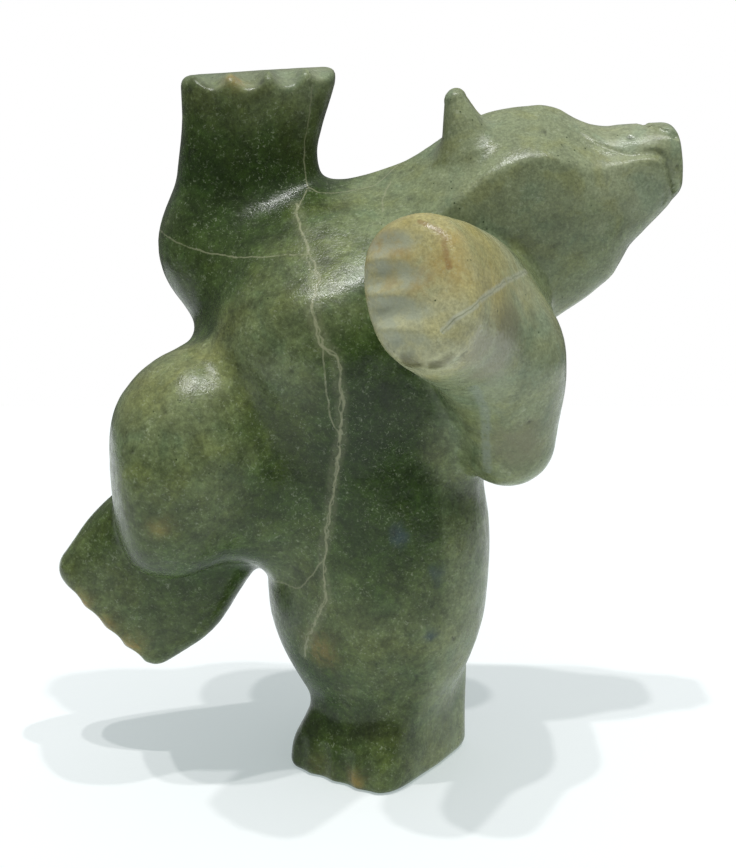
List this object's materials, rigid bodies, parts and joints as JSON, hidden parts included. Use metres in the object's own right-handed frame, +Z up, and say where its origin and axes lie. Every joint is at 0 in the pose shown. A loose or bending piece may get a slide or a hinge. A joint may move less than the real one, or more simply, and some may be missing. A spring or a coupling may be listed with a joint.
{
  "type": "soapstone bear carving",
  "caption": "Carved soapstone bear dancing upright on its left foot, head turned up to its left, one arm raised, one held out, one leg lifted; stands on a flat sole.",
  "frame": {"origin": "middle of the flat sole of the foot that the bear stands on", "axes": "+Z up; -Y towards the side from which the head is seen in profile, with its nose towards +X; the belly and the standing toes point towards -X -Y"},
  "size_m": [0.2396, 0.1612, 0.27],
  "materials": {
    "soapstone": "satin"
  },
  "bodies": {
    "root": {"bear_carving": "soapstone"}
  },
  "joints": []
}
